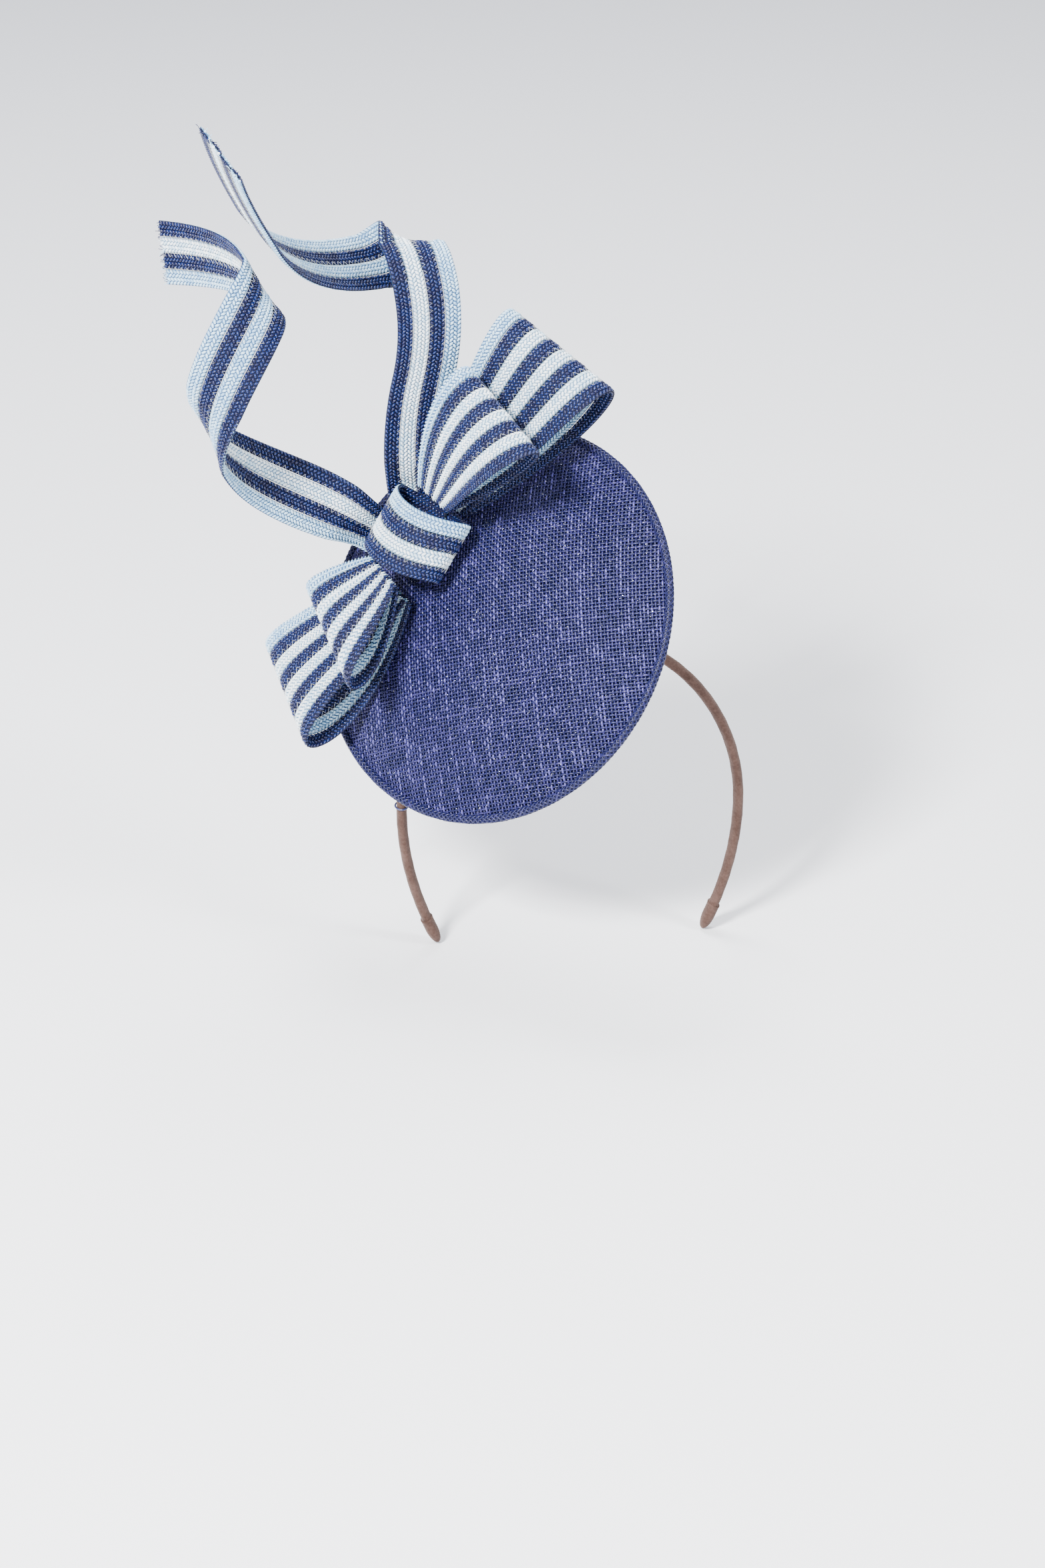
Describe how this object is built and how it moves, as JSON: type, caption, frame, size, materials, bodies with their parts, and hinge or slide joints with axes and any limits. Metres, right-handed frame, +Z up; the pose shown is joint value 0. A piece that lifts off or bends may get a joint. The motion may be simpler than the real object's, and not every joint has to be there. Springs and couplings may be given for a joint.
{
  "type": "fascinator headpiece",
  "caption": "Round domed sinamay disc on a velvet headband, trimmed with a striped braid bow of loops, a knot and two long curled tails.",
  "frame": {"origin": "inner face of the headband at the crown of the head, midway between the arms", "axes": "+Z up out of the top of the head, +X towards the wearer's left, -Y towards the wearer's face"},
  "size_m": [0.2531, 0.163, 0.3933],
  "materials": {
    "navy_braid": "satin twisted cord braid",
    "white_braid": "satin twisted cord braid",
    "sky_braid": "satin twisted cord braid",
    "sinamay": "stiffened open weave with a low gloss",
    "sinamay_backing": "stiffened open weave",
    "lining": "matte plain weave",
    "velvet": "short pile velvet",
    "felt": "matte pressed felt",
    "bundle": "pressed braid",
    "thread": "waxed thread",
    "spring_steel": "tempered strip",
    "brim_wire": "cotton wound wire"
  },
  "bodies": {
    "root": {"headband_core": "spring_steel", "headband_cover": "velvet", "headband_tip_left": "velvet", "headband_tip_right": "velvet", "crown_cloth": "sinamay", "crown_backing": "sinamay_backing", "crown_lining": "lining", "edge_binding": "sinamay", "brim_wire": "brim_wire", "headband_pad": "felt", "headband_stitches": "thread", "bow_gather": "bundle", "bow_binding": "thread", "bow_stitches": "thread", "knot_face_1": "navy_braid", "knot_face_2": "white_braid", "knot_face_3": "navy_braid", "knot_face_4": "sky_braid", "knot_back_1": "sky_braid", "knot_back_2": "navy_braid", "knot_back_3": "sky_braid", "knot_back_4": "navy_braid", "left_tail_face_1": "navy_braid", "left_tail_face_2": "white_braid", "left_tail_face_3": "navy_braid", "left_tail_face_4": "sky_braid", "left_tail_back_1": "sky_braid", "left_tail_back_2": "navy_braid", "left_tail_back_3": "sky_braid", "left_tail_back_4": "navy_braid", "right_tail_face_1": "navy_braid", "right_tail_face_2": "white_braid", "right_tail_face_3": "navy_braid", "right_tail_face_4": "sky_braid", "right_tail_back_1": "sky_braid", "right_tail_back_2": "navy_braid", "right_tail_back_3": "sky_braid", "right_tail_back_4": "navy_braid", "upper_outer_face_navy": "navy_braid", "upper_outer_face_pale": "white_braid", "upper_outer_back_navy": "navy_braid", "upper_outer_back_pale": "sky_braid", "upper_inner_face_navy": "navy_braid", "upper_inner_face_pale": "white_braid", "upper_inner_back_navy": "navy_braid", "upper_inner_back_pale": "sky_braid", "lower_inner_face_navy": "navy_braid", "lower_inner_face_pale": "white_braid", "lower_inner_back_navy": "navy_braid", "lower_inner_back_pale": "sky_braid", "lower_outer_face_navy": "navy_braid", "lower_outer_face_pale": "white_braid", "lower_outer_back_navy": "navy_braid", "lower_outer_back_pale": "sky_braid"}
  },
  "joints": []
}
